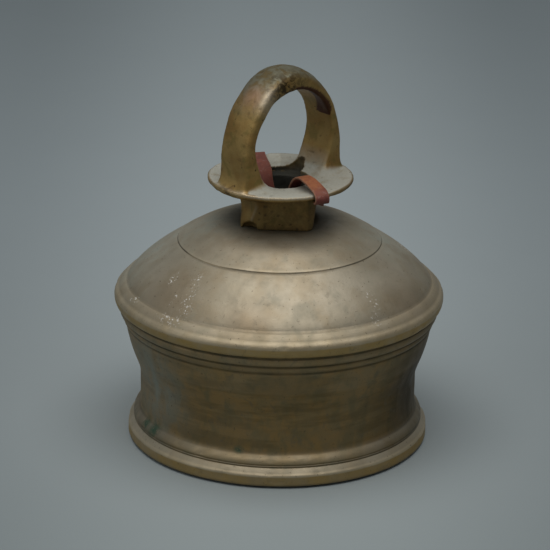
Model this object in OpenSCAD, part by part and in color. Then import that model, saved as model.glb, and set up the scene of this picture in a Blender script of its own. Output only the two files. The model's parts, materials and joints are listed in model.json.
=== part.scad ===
/* [Bell] */
// Radius at the shoulder bead, the widest place
bead_r = 82.3; // [80:0.1:85]
// Height of the bead's widest line
bead_z = 74.4; // [73:0.1:76]
// Radius of the waist
waist_r = 69.3; // [67:0.1:71]
// Radius of the lip's foot ring
lip_r = 75.6; // [74:0.1:78]
// Radius of the turned line on the dome
line_r = 51; // [46:0.5:54]
// Height of the flat land that the neck stands on
crown_z = 113.2; // [112:0.1:115]
// Thickness of the crown under the neck
crown_t = 5; // [4:0.1:6]

/* [Crown handle] */
// Width across the faces of the square neck
neck_w = 37.5; // [36:0.1:39]
// Radius of the thong's passage at the top of the neck
passage_r = 14; // [12.5:0.1:15]
// Radius of the dished flange
flange_r = 36; // [35:0.1:38]
// Height of the flange's rim
flange_z = 135.9; // [135:0.1:137]
// Half the outside width of the loop
loop_half = 31.2; // [30:0.1:33]
// Height of the loop's top
loop_z = 191.8; // [188:0.1:200]
// Thickness of the loop at its top
loop_t = 10.3; // [7:0.1:12]
// Width of the loop's band
band_w = 20; // [16:0.1:22]

/* [Thong] */
// Width of the leather thong
thong_w = 7.2; // [5:0.1:7.2]
// Thickness of the leather thong
thong_t = 1.3; // [1:0.1:1.5]
// Thickness of the lace that binds the thong's lapped ends
lace_d = 1.1; // [0.8:0.1:1.1]

/* [Clapper] */
// Height of the bend of thong that the clapper swings on
pivot_z = 97; // [95:0.1:98]
// Radius of the striking ball
ball_r = 19; // [15:0.1:20]
// Height of the ball's centre
ball_z = 25.6; // [24:0.1:28]
// Radius of the shank
shank_r = 3.2; // [2.5:0.1:4]

/* [Hidden] */

round_fn = 96;
curve_n = 10;

// Fits between the pieces
gap = 0.1;
pivot_gap = 0.3;

// Lip, waist and bead, up the outside
foot_in = 3.6;
side_low_z = 2.8;
side_top_z = 5.8;
bevel_z = 7.2;
foot_z = 9.5;
groove_z = 10;
lip_fillet_z = 11;
lip_groove_z = 12;
lip_top_z = 15.8;
waist_z = 17.5;
waist_top_z = 33;
flare_z = 59.8;
flare_r = bead_r - 5.7;
bead_low_z = bead_z - 4.1;
bead_top_r = bead_r - 2;
bead_top_z = bead_z + 3.4;
crease_r = bead_r - 6.1;
crease_z = bead_z + 7.4;

// The step that the turned line leaves on the dome
line_z = 102.4;
line_step = 0.5;
land_r = 24.6;

// Tenon, washer and peened head under the crown
tenon_r = 15.4;
bore_r = 11.5;
washer_r = 24;
washer_t = 2.4;
head_r = 18.6;
head_t = 2.5;
crown_low_z = crown_z - crown_t;
washer_z = crown_low_z - gap - washer_t;
head_z = washer_z - head_t;

// Neck and flange
neck_corner = 5.6;
neck_top_z = flange_z - 4.6;
flange_t = 2.2;
flange_low_z = neck_top_z - 0.6;
dish_z = flange_z - 2.1;
rim_notch_w = thong_w + 1;
rim_notch_depth = 0.8;
rim_notch_turn = 67;

// Loop: outer and inner curves are half ellipses over legs that spread at the feet
loop_spring_z = 150;
eye_half = 25;
eye_spring_z = 157;
leg_inner_foot = 16.5;
leg_outer_foot = flange_r - 1.6;
leg_curve_z = 138;
eye_curve_z = 143;
band_edge = 1.4;

// Clapper's eye: a round bar between two cheeks, over a yoke
bar_r = 2.1;
cheek_x = 6.6;
cheek_t = 4.2;
boss_r = 3;
eye_h = 8.4;
yoke_z = pivot_z - eye_h;
shank_top_r = 4.2;
shank_taper_h = 12;
collar_r = 5;
collar_t = 2.4;
ball_top_z = ball_z + sqrt(pow(ball_r, 2) - pow(collar_r + 1, 2));
end_washer_r = 6.6;
end_washer_t = 1.4;
ball_low_z = ball_z - sqrt(pow(ball_r, 2) - pow(end_washer_r + 0.8, 2));
end_head_r = 4.8;
end_head_t = 1.4;
end_head_z = ball_low_z - end_washer_t - gap;

// Thong: the bend under the clapper's bar, and the gap between its fixed and its swaying lengths
bend_r = bar_r + pivot_gap + thong_t / 2;
sway_z = head_z - 0.45;
sway_gap = 0.7;

brass = [0.42, 0.36, 0.25];
cast_brass = [0.46, 0.37, 0.2];
leather = [0.5, 0.2, 0.13];
rawhide = [0.4, 0.27, 0.17];
iron = [0.22, 0.2, 0.19];

// A quadratic curve from a to c, pulled towards b, without its first point
function curve2(a, b, c, n = curve_n) =
    [for (i = [1:n]) let (t = i / n, s = 1 - t) s * s * a + 2 * s * t * b + t * t * c];

// A cubic curve from a to d, pulled towards b and c, without its first point
function curve3(a, b, c, d, n = curve_n) =
    [for (i = [1:n]) let (t = i / n, s = 1 - t)
        s * s * s * a + 3 * s * s * t * b + 3 * s * t * t * c + t * t * t * d];

// Points of an ellipse, from angle a0 to a1
function ellipse(half, high, z, a0, a1, n = 3 * curve_n) =
    [for (i = [0:n]) let (a = a0 + (a1 - a0) * i / n) [half * cos(a), z + high * sin(a)]];

// ---- Bell body ----

function lip_outline() = concat(
    [[lip_r - foot_in, 0]],
    curve2([lip_r - foot_in + 0.6, 0.6], [lip_r - 0.2, 1], [lip_r, side_low_z], 4),
    curve2([lip_r, side_top_z], [lip_r, side_top_z + 1], [lip_r - 0.7, bevel_z], 3),
    [[lip_r - 2.7, foot_z], [lip_r - 3.1, groove_z]],
    [[lip_r - 2.7, lip_fillet_z], [lip_r - 2.9, lip_groove_z]],
    curve2([lip_r - 2.7, lip_groove_z + 0.4], [lip_r - 3.1, lip_top_z - 1.4], [lip_r - 5, lip_top_z], 6));

// One narrow fillet ring of the stack under the bead, with the groove below it
function fillet_ring(r, z, h) = concat(
    [[r - 1, z]],
    curve2([r - 0.6, z + 0.4], [r + 0.3, z + h / 2], [r - 0.1, z + h - 0.3], 4));

function waist_outline() = concat(
    [[waist_r + 0.3, waist_z - 0.9]],
    [[waist_r, waist_z], [waist_r, waist_top_z]],
    curve3([waist_r, waist_top_z], [waist_r + 0.1, 38], [waist_r + 2.6, 42.5], [waist_r + 4.4, 48], 8),
    curve2([waist_r + 4.4, 48], [waist_r + 6.2, 53.6], [flare_r, flare_z], 6),
    fillet_ring(flare_r + 1.3, flare_z + 0.9, 3.8),
    fillet_ring(flare_r + 3.3, flare_z + 4.9, 4.8));

function bead_outline() = concat(
    [[bead_r - 2.3, bead_low_z - 0.5]],
    curve2([bead_r - 1.6, bead_low_z], [bead_r, bead_low_z + 1], [bead_r, bead_z], 6),
    curve2([bead_r, bead_z], [bead_r, bead_z + 2.4], [bead_top_r, bead_top_z], 6),
    [[crease_r + 0.7, crease_z - 0.8]]);

function dome_outline() = concat(
    curve3([crease_r, crease_z], [bead_r - 9.8, 87.6], [line_r + 11, 95.9], [line_r, line_z], 14),
    curve2([line_r, line_z], [line_r - 0.1, line_z + line_step], [line_r - 0.7, line_z + 0.75], 3),
    curve3([line_r - 0.7, line_z + 0.75], [43.3, 107.3], [36.6, crown_z - 0.9], [land_r, crown_z], 12));

function inside_outline() = concat(
    [[land_r, crown_low_z]],
    curve3([land_r, crown_low_z], [42, 105.8], [bead_r - 20, 91.5], [bead_r - 10.9, 79.4], 14),
    curve2([bead_r - 10.9, 79.4], [bead_r - 6.9, 74.5], [bead_r - 7.7, 68.5], 6),
    curve3([bead_r - 7.7, 68.5], [bead_r - 10.3, 56], [waist_r - 4.5, 44], [waist_r - 4.7, 20], 14),
    curve2([waist_r - 4.7, 20], [waist_r - 5, 7], [lip_r - 8.8, 1], 6),
    [[lip_r - 7.6, 0]]);

module bell_body() {
    color(brass)
        rotate_extrude($fn = round_fn)
            polygon(concat(lip_outline(), waist_outline(), bead_outline(), dome_outline(),
                [[tenon_r + gap, crown_z], [tenon_r + gap, crown_low_z]], inside_outline()));
}

// ---- Crown handle: loop, dished flange, square neck and tenon in one casting ----

// A square with its corners cut, turned so that the corners lie on the X and Y axes
module neck_section() {
    half = neck_w / 2;
    rotate(45)
        polygon([for (q = [0:3]) for (p = [[half, half - neck_corner], [half - neck_corner, half]])
            [p[0] * cos(90 * q) - p[1] * sin(90 * q), p[0] * sin(90 * q) + p[1] * cos(90 * q)]]);
}

module flange() {
    rotate_extrude($fn = round_fn)
        polygon(concat([[0, dish_z], [passage_r, dish_z]],
            curve2([passage_r, dish_z], [flange_r - 8, flange_z - 1.6], [flange_r - 1, flange_z], 6),
            curve2([flange_r - 1, flange_z], [flange_r + 0.2, flange_z - 0.2],
                [flange_r - 0.2, flange_z - flange_t], 4),
            curve2([flange_r - 0.2, flange_z - flange_t], [flange_r - 8, neck_top_z + 0.2],
                [neck_w / 2, flange_low_z], 6),
            [[0, flange_low_z]]));
}

// The loop's outline in its own plane, brought in all round by inset
function loop_outline(inset) = let (
    leg_foot_z = dish_z - 1,
    outer = ellipse(loop_half - inset, loop_z - loop_spring_z - inset, loop_spring_z, 0, 180),
    inner = ellipse(eye_half + inset, loop_z - loop_t - eye_spring_z + inset, eye_spring_z, 180, 0),
    outer_foot = curve2([loop_half - inset, loop_spring_z], [loop_half - inset, leg_curve_z],
        [leg_outer_foot - inset, leg_foot_z]),
    inner_foot = curve2([eye_half + inset, eye_spring_z], [eye_half + inset, eye_curve_z],
        [leg_inner_foot + inset, leg_foot_z]))
    concat(
        [for (i = [len(outer_foot) - 1:-1:0]) outer_foot[i]], outer, [for (p = outer_foot) [-p[0], p[1]]],
        [for (i = [len(inner_foot) - 1:-1:0]) [-inner_foot[i][0], inner_foot[i][1]]], inner, inner_foot);

module loop() {
    for (layer = [[0, band_w - 2 * band_edge], [band_edge, band_w]])
        rotate([90, 0, 0])
            linear_extrude(layer[1], center = true)
                polygon(loop_outline(layer[0]));
}

module passage() {
    rotate_extrude($fn = round_fn)
        polygon([[0, head_z - 1], [bore_r, head_z - 1], [bore_r, crown_z],
            [passage_r - 0.6, crown_z + 5], [passage_r - 0.6, dish_z - 1.2],
            [passage_r, dish_z - 0.2], [passage_r, dish_z + 1], [0, dish_z + 1]]);
}

// The shallow notch that the thong lies in where it crosses the back of the flange's rim
module rim_notch() {
    rotate(rim_notch_turn)
        translate([flange_r - 4, -rim_notch_w / 2, flange_z - rim_notch_depth])
            cube([8, rim_notch_w, 2]);
}

module peened_tenon() {
    rotate_extrude($fn = round_fn)
        polygon(concat([[0, crown_z + 1], [tenon_r, crown_z + 1], [tenon_r, washer_z - gap]],
            [[head_r, washer_z - gap]],
            curve2([head_r, washer_z - gap], [head_r - 0.4, head_z], [bore_r + 1.5, head_z], 5),
            [[0, head_z]]));
}

module crown_handle() {
    color(cast_brass)
        difference() {
            union() {
                translate([0, 0, crown_z]) linear_extrude(neck_top_z - crown_z) neck_section();
                flange();
                loop();
                peened_tenon();
            }
            passage();
            rim_notch();
        }
}

module crown_washer() {
    color(cast_brass)
        translate([0, 0, washer_z])
            difference() {
                cylinder(h = washer_t, r = washer_r, $fn = round_fn);
                translate([0, 0, -1]) cylinder(h = washer_t + 2, r = tenon_r + gap, $fn = round_fn);
            }
}

// ---- Leather thong ----

// Each place on a route is [point, direction of the strap's width]. The route is a smooth curve through them.
function spline(route, part, i, t) = let (
    n = len(route) - 1,
    a = route[max(i - 1, 0)][part], b = route[i][part],
    c = route[min(i + 1, n)][part], d = route[min(i + 2, n)][part])
    0.5 * (2 * b + (c - a) * t + (2 * a - 5 * b + 4 * c - d) * t * t + (3 * b - a - 3 * c + d) * t * t * t);

function unit(v) = v / norm(v);

// The four corners of the strap's section at every step along a route
function strap_rings(route, steps) = [for (i = [0:len(route) - 2])
    for (k = [0:i == len(route) - 2 ? steps : steps - 1])
    let (t = k / steps,
        p = spline(route, 0, i, t),
        along = unit(spline(route, 0, i, min(t + 0.01, 1)) - spline(route, 0, i, max(t - 0.01, 0))),
        w0 = spline(route, 1, i, t),
        w = unit(w0 - (w0 * along) * along) * thong_w / 2,
        h = unit(cross(along, w)) * thong_t / 2)
    [p + w + h, p - w + h, p - w - h, p + w - h]];

module strap(route, steps = 4) {
    rings = strap_rings(route, steps);
    last = len(rings) - 1;
    polyhedron(
        points = [for (ring = rings) for (p = ring) p],
        faces = concat([[3, 2, 1, 0]], [[for (k = [0:3]) 4 * last + k]],
            [for (i = [0:last - 1]) for (k = [0:3]) let (m = (k + 1) % 4)
                each [[4 * i + k, 4 * i + m, 4 * i + 4 + k], [4 * i + m, 4 * i + 4 + m, 4 * i + 4 + k]]]));
}

// Up the passage, over the front of the rim, back under the flange, and round the neck's +X corner
front_route = [
    [[0, -bend_r, sway_z + sway_gap / 2], [1, 0, 0]],
    [[0.1, -3.7, 110], [1, 0, 0]],
    [[0.6, -5.4, 121], [1, 0, 0]],
    [[1, -8.2, 130], [1, -0.05, 0]],
    [[0.7, -12, 136.2], [1, -0.15, 0]],
    [[-0.3, -16.8, 139], [0.98, -0.22, 0]],
    [[-2.2, -23.6, 139.2], [0.97, -0.25, 0]],
    [[-4.3, -30.8, 138.1], [0.96, -0.28, 0]],
    [[-5.7, -35.3, 136.9], [0.95, -0.3, 0]],
    [[-6.2, -37.3, 134.5], [0.94, -0.32, 0]],
    [[-5.8, -36.5, 132.2], [0.93, -0.35, 0]],
    [[-4.2, -34, 131.2], [0.9, -0.45, 0.05]],
    [[-1, -30.9, 130.4], [0.8, -0.55, 0.15]],
    [[2.8, -27.4, 129.2], [0.65, -0.6, 0.4]],
    [[7.6, -24.3, 127.8], [0.4, -0.4, 0.8]],
    [[10.8, -19, 126.5], [0, 0, 1]],
    [[14, -14, 126.1], [0, 0, 1]],
    [[18.6, -9.3, 125.9], [0, 0, 1]],
    [[22.9, -5.9, 125.8], [0, 0, 1]],
    [[24.9, -2.4, 125.8], [0, 0, 1]],
    [[25, 1.9, 125.8], [0, 0, 1]],
    [[23.3, 5.9, 125.8], [0, 0, 1]],
    [[19.8, 9.6, 125.8], [0, 0, 1]],
    [[16.2, 13.2, 125.8], [0, 0, 1]],
    [[12.6, 16.8, 125.8], [0, 0, 1]],
    [[10.2, 19.2, 125.8], [0, 0, 1]]];

// Up the passage, through the notch in the back of the rim, under the flange and over the front run's end
back_route = [
    [[0, bend_r, sway_z + sway_gap / 2], [1, 0, 0]],
    [[0, 3.8, 110], [1, 0, 0]],
    [[-0.4, 6, 121], [1, 0, 0]],
    [[-0.6, 9.2, 129.5], [1, -0.05, 0]],
    [[1, 12.9, 134.6], [0.95, -0.3, 0]],
    [[3.8, 17.4, 136], [0.9, -0.45, 0]],
    [[7.4, 23.2, 136.2], [0.88, -0.5, 0]],
    [[11.1, 29, 136.3], [0.88, -0.5, 0]],
    [[14, 32.9, 136.1], [0.9, -0.45, 0]],
    [[15.3, 34.4, 134.2], [0.9, -0.42, 0]],
    [[15.1, 33, 131.8], [0.9, -0.42, 0]],
    [[13.4, 29.2, 130.4], [0.88, -0.5, 0.1]],
    [[11.9, 25.2, 128.8], [0.7, -0.5, 0.5]],
    [[12, 21.5, 126.8], [0.2, -0.1, 1]],
    [[13.4, 18.3, 125.8], [0, 0, 1]],
    [[16.2, 15.5, 125.8], [0, 0, 1]],
    [[19.2, 12.5, 125.8], [0, 0, 1]],
    [[20.9, 10.8, 125.8], [0, 0, 1]]];

// Down, under the clapper's bar and up again
drop_route = concat(
    [[[0, -bend_r, sway_z - sway_gap / 2], [1, 0, 0]]],
    [for (a = [180:20:360]) [[0, bend_r * cos(a), pivot_z + bend_r * sin(a)], [1, 0, 0]]],
    [[[0, bend_r, sway_z - sway_gap / 2], [1, 0, 0]]]);

module thong_collar() {
    color(leather) {
        strap(front_route);
        strap(back_route);
    }
}

module thong_drop() {
    color(leather) strap(drop_route);
}

// Turns of lace round the lapped ends, on the neck's side that faces +X and +Y
lace_turns = 4;
lace_pitch = 2.4;
lace_from_axis = 21.6;
lace_along = -1;
lace_z = 125.8;
lace_half_t = 1.7;
lace_half_h = thong_w / 2 + 0.2;

// A rectangle with rounded corners, as points
function rounded_box(half_x, half_y, r) = [for (q = [0:3]) for (a = [0:22.5:90])
    let (sx = q == 0 || q == 3 ? 1 : -1, sy = q < 2 ? 1 : -1)
    [sx * (half_x - r) + r * cos(90 * q + a), sy * (half_y - r) + r * sin(90 * q + a)]];

module lace_turn() {
    linear_extrude(lace_d, center = true)
        difference() {
            polygon(rounded_box(lace_half_h + lace_d, lace_half_t + lace_d, 1.6));
            polygon(rounded_box(lace_half_h, lace_half_t, 0.6));
        }
}

module thong_binding() {
    color(rawhide)
        rotate(45)
            translate([lace_from_axis, lace_along, lace_z])
                for (k = [0:lace_turns - 1])
                    translate([0, (k - (lace_turns - 1) / 2) * lace_pitch, 0])
                        rotate([0, 90, 90]) lace_turn();
}

// ---- Clapper ----

module eye() {
    translate([0, 0, pivot_z])
        rotate([0, 90, 0])
            cylinder(h = 2 * cheek_x, r = bar_r, center = true, $fn = 48);
    translate([0, 0, yoke_z]) cube([2 * cheek_x + cheek_t, cheek_t, cheek_t], center = true);
    for (side = [-1, 1])
        translate([side * cheek_x, 0, pivot_z]) {
            rotate([0, 90, 0]) cylinder(h = cheek_t, r = boss_r, center = true, $fn = 48);
            translate([0, 0, -eye_h / 2]) cube([cheek_t, cheek_t, eye_h], center = true);
        }
}

module clapper_shank() {
    color(iron) {
        eye();
        rotate_extrude($fn = 48)
            polygon([[0, yoke_z], [shank_top_r, yoke_z], [shank_r, yoke_z - shank_taper_h],
                [shank_r, ball_top_z + collar_t + 1], [collar_r, ball_top_z + collar_t],
                [collar_r, ball_top_z + gap], [shank_r, ball_top_z + gap], [shank_r, end_head_z],
                [end_head_r, end_head_z], [end_head_r - 1.6, end_head_z - end_head_t],
                [0, end_head_z - end_head_t]]);
    }
}

module clapper_ball() {
    color(iron)
        difference() {
            translate([0, 0, ball_z]) sphere(r = ball_r, $fn = round_fn);
            translate([0, 0, ball_top_z]) cylinder(h = ball_r, r = ball_r, $fn = 48);
            translate([0, 0, ball_low_z - ball_r]) cylinder(h = ball_r, r = ball_r, $fn = 48);
            translate([0, 0, ball_z - ball_r]) cylinder(h = 2 * ball_r, r = shank_r + gap, $fn = 48);
        }
}

module clapper_washer() {
    color(iron)
        translate([0, 0, ball_low_z - end_washer_t])
            difference() {
                cylinder(h = end_washer_t, r = end_washer_r, $fn = 48);
                translate([0, 0, -1]) cylinder(h = end_washer_t + 2, r = shank_r + gap, $fn = 48);
            }
}

bell_body();
crown_handle();
crown_washer();
thong_collar();
thong_binding();
thong_drop();
clapper_shank();
clapper_ball();
clapper_washer();
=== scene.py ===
import json
import math

import bpy
import numpy as np
from mathutils import Matrix, Vector


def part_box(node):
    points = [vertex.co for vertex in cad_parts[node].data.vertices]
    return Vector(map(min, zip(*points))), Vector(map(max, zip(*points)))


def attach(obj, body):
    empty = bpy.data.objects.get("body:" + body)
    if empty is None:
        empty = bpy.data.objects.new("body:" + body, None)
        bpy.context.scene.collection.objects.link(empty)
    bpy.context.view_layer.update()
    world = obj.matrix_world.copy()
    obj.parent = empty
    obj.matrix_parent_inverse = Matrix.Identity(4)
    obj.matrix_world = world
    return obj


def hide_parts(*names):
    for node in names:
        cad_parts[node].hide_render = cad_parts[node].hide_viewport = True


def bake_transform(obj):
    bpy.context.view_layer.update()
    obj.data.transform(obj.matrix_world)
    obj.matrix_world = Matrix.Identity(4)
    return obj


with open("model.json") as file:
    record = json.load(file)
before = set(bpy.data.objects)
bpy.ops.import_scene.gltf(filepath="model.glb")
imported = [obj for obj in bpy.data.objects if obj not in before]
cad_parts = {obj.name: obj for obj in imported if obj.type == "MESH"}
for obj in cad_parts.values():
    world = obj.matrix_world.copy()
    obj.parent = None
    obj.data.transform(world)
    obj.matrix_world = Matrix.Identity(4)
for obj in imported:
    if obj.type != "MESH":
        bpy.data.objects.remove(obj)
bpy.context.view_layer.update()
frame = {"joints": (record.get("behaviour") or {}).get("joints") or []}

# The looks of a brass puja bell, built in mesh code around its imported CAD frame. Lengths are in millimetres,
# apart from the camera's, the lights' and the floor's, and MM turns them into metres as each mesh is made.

MM = 0.001


def node_box(node):
    """A CAD node's lowest and highest corners, in millimetres."""
    lo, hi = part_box(node)
    return np.array(lo) / MM, np.array(hi) / MM


_, BODY_HI = node_box("bell_body")
CROWN_LO, CROWN_HI = node_box("crown_handle")
WASHER_LO, WASHER_HI = node_box("crown_washer")
BALL_LO, BALL_HI = node_box("clapper_ball")
SHANK_LO, SHANK_HI = node_box("clapper_shank")
ROVE_LO, ROVE_HI = node_box("clapper_washer")
LACE_LO, LACE_HI = node_box("thong_binding")
JOINTS = {joint["name"]: joint for joint in frame["joints"]}
SWAY_Z = JOINTS["thong_sway"]["pos_m"][2] / MM
PIVOT_Z = JOINTS["clapper_swing"]["pos_m"][2] / MM


# ---- Camera, floor and light ----

CAMERA_AZIMUTH = math.radians(-42)
# The direction in which the camera stands, as an angle about the bell's axis: marks are placed round from it
CAMERA_SIDE = CAMERA_AZIMUTH - math.pi / 2
CAMERA_ELEVATION = math.radians(20.12)
CAMERA_DISTANCE = 1.5
CAMERA_ROLL = 0.014
CAMERA_LENS = 196.3
AIM_RIGHT = -0.00211
AIM_HEIGHT = 0.08318


def make_camera():
    sin_a, cos_a = math.sin(CAMERA_AZIMUTH), math.cos(CAMERA_AZIMUTH)
    sin_e, cos_e = math.sin(CAMERA_ELEVATION), math.cos(CAMERA_ELEVATION)
    right = Vector((cos_a, sin_a, 0))
    back = Vector((sin_a * cos_e, -cos_a * cos_e, sin_e))
    up = back.cross(right)
    target = right * AIM_RIGHT + Vector((0, 0, AIM_HEIGHT))
    camera = bpy.data.objects.new("camera", bpy.data.cameras.new("camera"))
    camera.data.sensor_width = 36
    camera.data.lens = CAMERA_LENS
    rolled_right = right * math.cos(CAMERA_ROLL) + up * math.sin(CAMERA_ROLL)
    rolled_up = up * math.cos(CAMERA_ROLL) - right * math.sin(CAMERA_ROLL)
    turn = Matrix((rolled_right, rolled_up, back)).transposed()
    camera.matrix_world = Matrix.Translation(target + back * CAMERA_DISTANCE) @ turn.to_4x4()
    bpy.context.scene.collection.objects.link(camera)
    bpy.context.scene.camera = camera


def area_light(name, place, aim, size, watts, colour):
    light = bpy.data.lights.new(name, "AREA")
    light.shape = "RECTANGLE"
    light.size, light.size_y = size
    light.energy = watts
    light.color = colour
    holder = bpy.data.objects.new(name, light)
    holder.location = place
    holder.rotation_mode = "QUATERNION"
    holder.rotation_quaternion = (Vector(aim) - Vector(place)).to_track_quat("-Z", "Y")
    bpy.context.scene.collection.objects.link(holder)


def make_light():
    area_light("overhead_softbox", (-0.16, -0.16, 1.05), (0, 0, 0), (1.15, 1.15), 7.8, (1, 0.985, 0.955))
    area_light("left_fill", (-1.3, 0.5, 0.7), (0, 0, 0.08), (0.9, 0.9), 1.6, (0.95, 0.98, 1))
    world = bpy.data.worlds.new("studio")
    world.use_nodes = True
    background = world.node_tree.nodes["Background"].inputs
    background["Color"].default_value = (0.37, 0.4, 0.41, 1)
    background["Strength"].default_value = 0.44
    bpy.context.scene.world = world
    bpy.context.scene.view_settings.view_transform = "Standard"


# ---- Numbers: curves, noise and solids as distance fields ----

def unit(value):
    """A value held between 0 and 1."""
    return np.clip(value, 0, 1)


def from_axis(p):
    """Each point's distance from the bell's axis."""
    return np.hypot(p[:, 0], p[:, 1])


def around(p, direction):
    """Each point's angle about the axis, measured from a direction, from -pi to pi."""
    turn = np.arctan2(p[:, 1], p[:, 0]) - direction
    return (turn + np.pi) % (2 * np.pi) - np.pi


def spot(*offsets):
    """1 where every offset is 0, falling off smoothly to about 0 where one of them is 2."""
    return np.exp(-sum(offset ** 2 for offset in offsets))


def squared(wave, power):
    """A sine wave with its shoulders filled out by a power below 1."""
    return np.sign(wave) * np.abs(wave) ** power


def quad_grid(rows, columns, closed=False):
    """Quads between rows of points. Each row is a ring, and closed joins the last row to the first."""
    row, column = np.arange(rows if closed else rows - 1)[:, None], np.arange(columns)[None]
    next_row, next_column = (row + 1) % rows, (column + 1) % columns
    corners = (row * columns + column, row * columns + next_column,
               next_row * columns + next_column, next_row * columns + column)
    return np.stack(np.broadcast_arrays(*corners), -1).reshape(-1, 4)


def bezier(points, count):
    """count points along a quadratic or cubic curve, without its first point."""
    t = np.linspace(0, 1, count + 1)[1:, None]
    level = [np.array(p, float) for p in points]
    while len(level) > 1:
        level = [a * (1 - t) + b * t for a, b in zip(level, level[1:])]
    return level[0]


def lumps(points, cell, seed):
    """Smooth noise from -1 to 1 at points (n, 3), with lumps about one cell across."""
    scaled = points / cell
    base = np.floor(scaled).astype(np.int64)
    part = scaled - base
    part = part * part * (3 - 2 * part)
    total = np.zeros(len(points))
    for corner in np.ndindex(2, 2, 2):
        at = base + corner
        mixed = at[:, 0] * 73856093 ^ at[:, 1] * 19349663 ^ at[:, 2] * 83492791 ^ (seed * 40503 + 977)
        mixed = (mixed ^ (mixed >> 13)) * 1274126177 & 0x7FFFFFFF
        mixed = (mixed ^ (mixed >> 15)) * 668265263 & 0x7FFFFFFF
        weight = np.prod(np.where(np.array(corner) == 1, part, 1 - part), axis=1)
        total += weight * (mixed / 0x3FFFFFFF - 1)
    return total


def smooth_max(a, b, k):
    """The larger of two fields, with the corner between them filled over a width k."""
    h = np.maximum(k - np.abs(a - b), 0) / k
    return np.maximum(a, b) + h * h * k / 4


def smooth_min(a, b, k):
    return -smooth_max(-a, -b, k)


def round_both(a, b, radius):
    """What lies inside both fields, with their shared edge rounded."""
    a, b = a + radius, b + radius
    return np.minimum(np.maximum(a, b), 0) + np.hypot(np.maximum(a, 0), np.maximum(b, 0)) - radius


def rod(p, a, b, r_a, r_b):
    """A round rod from a to b whose radius runs from r_a to r_b, with round ends."""
    a, b = np.array(a, float), np.array(b, float)
    along = unit((p - a) @ (b - a) / ((b - a) @ (b - a)))
    return np.linalg.norm(p - a - along[:, None] * (b - a), axis=1) - (r_a + (r_b - r_a) * along)


def ellipse_field(x, z, half, high):
    k1 = np.hypot(x / half, z / high)
    k2 = np.hypot(x / half ** 2, z / high ** 2)
    return k1 * (k1 - 1) / np.maximum(k2, 1e-9)


def cells_round(index, axis, steps):
    """The grid cells that share each crossed edge along an axis, one step at a time."""
    across = [k for k in range(3) if k != axis]
    for step in steps:
        at = index.copy()
        at[:, across] -= step
        yield tuple(at.T)


def surface(field, lo, hi, cell):
    """Points and quads where a field crosses zero: one point in each grid cell that it crosses."""
    axes = [np.arange(a - cell, b + 2 * cell, cell) for a, b in zip(lo, hi)]
    grid = np.stack(np.meshgrid(*axes, indexing="ij"), -1)
    shape = grid.shape[:3]
    value = field(grid.reshape(-1, 3)).reshape(shape)
    inside = value < 0
    total = np.zeros([n - 1 for n in shape] + [3])
    hits = np.zeros([n - 1 for n in shape])
    crossings = []
    for axis in range(3):
        lower = tuple(slice(0, -1) if k == axis else slice(None) for k in range(3))
        upper = tuple(slice(1, None) if k == axis else slice(None) for k in range(3))
        crossed = inside[lower] != inside[upper]
        crossings.append(np.argwhere(crossed))
        v0, v1 = value[lower][crossed], value[upper][crossed]
        point = grid[lower][crossed].copy()
        point[:, axis] += cell * v0 / (v0 - v1)
        for at in cells_round(crossings[-1], axis, np.ndindex(2, 2)):
            np.add.at(total, at, point)
            np.add.at(hits, at, 1)
    used = hits > 0
    number = np.full(used.shape, -1)
    number[used] = np.arange(used.sum())
    quads = []
    for axis, index in enumerate(crossings):
        steps = ((1, 1), (0, 1), (0, 0), (1, 0))
        ring = np.stack([number[at] for at in cells_round(index, axis, steps)], -1)
        flip = inside[tuple(index.T)] != (axis == 1)
        quads.append(np.where(flip[:, None], ring, ring[:, ::-1]))
    return total[used] / hits[used][:, None], np.concatenate(quads)


def settle(points, field, rounds=3):
    """Moves points onto a field's zero, and gives the outward direction there."""
    step = 0.02
    for turn in range(rounds + 1):
        slope = np.stack([(field(points + d) - field(points - d)) / (2 * step)
                          for d in np.eye(3) * step], -1)
        size = np.maximum((slope ** 2).sum(1), 0.09)
        if turn < rounds:
            points = points - (np.clip(field(points), -0.5, 0.5) / size)[:, None] * slope
    return points, slope / np.maximum(np.linalg.norm(slope, axis=1), 1e-6)[:, None]


def skin_of(field, lo, hi, cell):
    """A field's skin: its points, its faces, and its outward direction at each point."""
    points, faces = surface(field, lo, hi, cell)
    points, normal = settle(points, field)
    return points, faces, normal


def make_mesh(name, points, faces, body, material, replaces, marks=None):
    """Makes a smooth-shaded piece from points in millimetres, sets it under the empty of the body it rides on,
    if any, and hides the CAD parts it stands for."""
    faces = np.asarray(faces)
    mesh = bpy.data.meshes.new(name)
    mesh.vertices.add(len(points))
    mesh.vertices.foreach_set("co", (np.asarray(points) * MM).astype(np.float32).ravel())
    mesh.loops.add(faces.size)
    mesh.loops.foreach_set("vertex_index", faces.ravel().astype(np.int32))
    mesh.polygons.add(len(faces))
    mesh.polygons.foreach_set("loop_start", np.arange(0, faces.size, faces.shape[1], dtype=np.int32))
    mesh.update(calc_edges=True)
    mesh.validate()
    mesh.polygons.foreach_set("use_smooth", np.ones(len(mesh.polygons), bool))
    for key, values in (marks or {}).items():
        mesh.attributes.new(key, "FLOAT", "POINT").data.foreach_set("value", values.astype(np.float32))
    mesh.materials.append(material)
    piece = bpy.data.objects.new(name, mesh)
    bpy.context.scene.collection.objects.link(piece)
    if body:
        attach(piece, body)
    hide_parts(*replaces)
    return piece


# ---- Materials ----

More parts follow.
